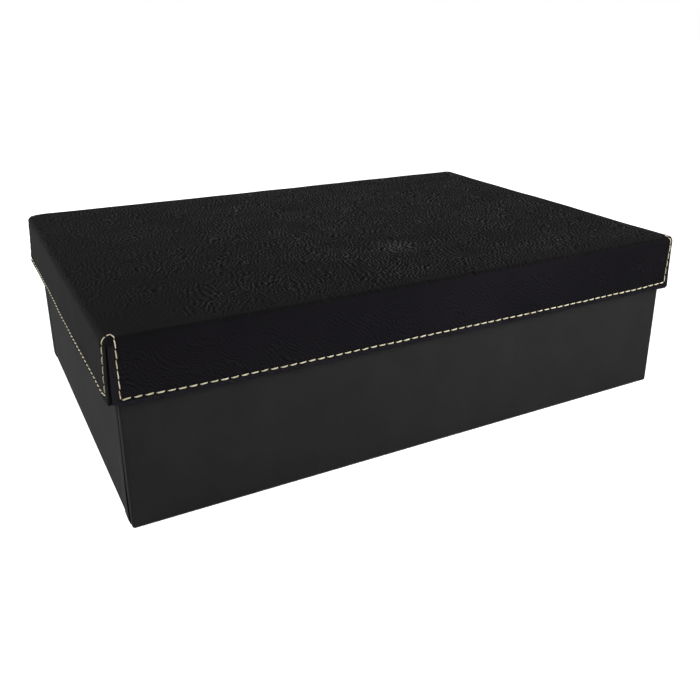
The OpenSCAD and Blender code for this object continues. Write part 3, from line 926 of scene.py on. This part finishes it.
def cover_section():
    """Outside and inside of the sheet as (u, z), and a mark: -1 under the floor, 0 wall, 1 rim and inside."""
    wall_in = BASE_R - 2 * PAPER_T - BASE_BOARD
    bend = FOLD_R - PAPER_T
    rows = []

    def arc(u, z, start, end, mark):
        for a in np.radians(np.linspace(start, end, 6)):
            c, s = math.cos(a), math.sin(a)
            rows.append((u + FOLD_R * c, z + FOLD_R * s, u + bend * c, z + bend * s, mark))

    for u in np.linspace(BASE_R - UNDER_W, BASE_R - FOLD_R - 1, 5):
        rows.append((u, BASE_BOTTOM, u, BASE_BOTTOM + PAPER_T, -1))
    arc(BASE_R - FOLD_R, BASE_BOTTOM + FOLD_R, -90, 0, -1)
    low = np.linspace(BASE_BOTTOM + FOLD_R, SEAM_SLANT_H, 14, endpoint=False)
    for z in [*low, *np.linspace(SEAM_SLANT_H, BASE_TOP - FOLD_R, 20)]:
        rows.append((BASE_R, z, BASE_R - PAPER_T, z, 0))
    arc(BASE_R - FOLD_R, BASE_TOP - FOLD_R, 0, 90, 1)
    arc(wall_in + FOLD_R, BASE_TOP - FOLD_R, 90, 180, 1)
    for z in np.linspace(BASE_TOP - FOLD_R, BASE_TOP - INSIDE_W, 5)[1:]:
        rows.append((wall_in, z, wall_in + PAPER_T, z, 1))
    return np.array(rows)


def cover_columns(start, end):
    """Distances along the base's outside, closer together round the corners and near the sheet's two ends."""
    stops = [start, end]
    for turn in range(-2, 3):
        stops += [e + turn * BASE.total for e in BASE.ends]
    stops = sorted({round(v, 6) for v in stops if start <= v <= end})
    columns = [start + END_STEPS, end - END_STEPS, [end]]
    for a, b in zip(stops[:-1], stops[1:]):
        least, step = (8, SHORT_STEP) if b - a < SHORT_RUN else (12, LONG_STEP)
        columns.append(np.linspace(a, b, max(least, int((b - a) / step)), endpoint=False))
    return np.unique(np.round(np.concatenate(columns), 5))


def corner_gap(s):
    """Distance along the base from the nearest corner's round, which is 0 on the round itself."""
    s = s % BASE.total
    gaps = [np.maximum(start - s, s - end) for start, end in zip(BASE.ends[1:8:2], BASE.ends[2:9:2])]
    return np.maximum(0, np.min(gaps, axis=0))


def make_cover(name, start, end, outer_sheet, lifted_end=False):
    """One covering paper from start to end. An outer sheet laps over the ends of the two it meets."""
    out_u, out_z, in_u, in_z, mark = cover_section().T
    columns = cover_columns(start, end)[:, None]
    count, rows = len(columns), len(mark)
    s = np.repeat(columns, rows, 1)
    if lifted_end:
        reach = np.clip(1 - (end - s) / SLANT_REACH, 0, 1) ** 2
        s = s + reach * SEAM_SLANT * np.clip(1 - out_z / SEAM_SLANT_H, 0, 1)
    centre, normal = BASE.at(s)
    gap = corner_gap(s)
    push = BASE_WAVE * (1 + BASE_WAVES.at(with_z(centre + normal * BASE_R, out_z))) / 2
    if lifted_end:
        up = out_z / SEAM_LIFT_H
        push = push + SEAM_LIFT * up * np.exp(1 - up) * hump(columns, end, SEAM_LIFT_W)
    thin = EDGE_THIN * np.clip(1 - np.minimum(s - start, end - s) / EDGE_THIN_W, 0, 1)
    lap = rise(BASE_FLAP - BASE_R - gap, 0, LAP_EASE)
    hidden = gap > BASE_SEAM - BASE_R + TUCK

    surfaces = []
    for u, z, depth in ((out_u, out_z, 0.0), (in_u, in_z, PAPER_T)):
        on_wall = np.where(mark == 0, 1.0, np.clip((u - BASE_R + LAP_EASE) / LAP_EASE, 0, 1))
        if outer_sheet:
            u = u + PAPER_T * lap * on_wall
        else:
            lapped_z = np.where(mark < 0, BASE_BOTTOM + 2 * PAPER_T, BASE_TOP - 2 * PAPER_T)
            u = np.where(hidden, BASE_R - depth, u)
            z = np.where(hidden & (mark != 0), lapped_z, z)
        u = np.maximum(u, MITRE_IN - gap) + push * on_wall
        if outer_sheet and depth == 0:
            u = u - thin * on_wall
        surfaces.append(with_z(centre + normal * u[..., None], z))

    outside = np.arange(count * rows).reshape(count, rows)
    inside = outside + count * rows
    faces = quads(outside) + quads(inside[::-1])
    for edge in (0, -1):
        faces += quads(np.stack([outside[edge], inside[edge]]))
        faces += quads(np.stack([outside[:, edge], inside[:, edge]]))
    vertices = np.vstack([surface.reshape(-1, 3) for surface in surfaces])
    piece = link_mesh(name + "_formed", vertices, faces, "base", "cover_paper", sharp=50, weld=0.01)
    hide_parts(name)


def make_covers():
    wrap = BASE_FLAP - BASE_R
    seam = BASE_SEAM - BASE_R
    ends = BASE.ends
    make_cover("base_front_cover", ends[7] - wrap - BASE.total, ends[2] + wrap, outer_sheet=False)
    make_cover("base_rear_cover", ends[3] - wrap, ends[6] + wrap, outer_sheet=False)
    make_cover("base_right_cover", ends[2] + seam, ends[3] - seam, outer_sheet=True)
    make_cover("base_left_cover", ends[6] + seam, ends[7] - seam, outer_sheet=True, lifted_end=True)


make_camera()
make_floor()
make_world()
make_lights()
for row in frame["record"]["subparts"]:
    for place in frame["nodes"][row["node"]].material_slots:
        place.material = MATERIALS[row["material_slot"]]
make_skin()
make_all_stitching()
make_covers()

bpy.context.scene.view_settings.view_transform = "Standard"
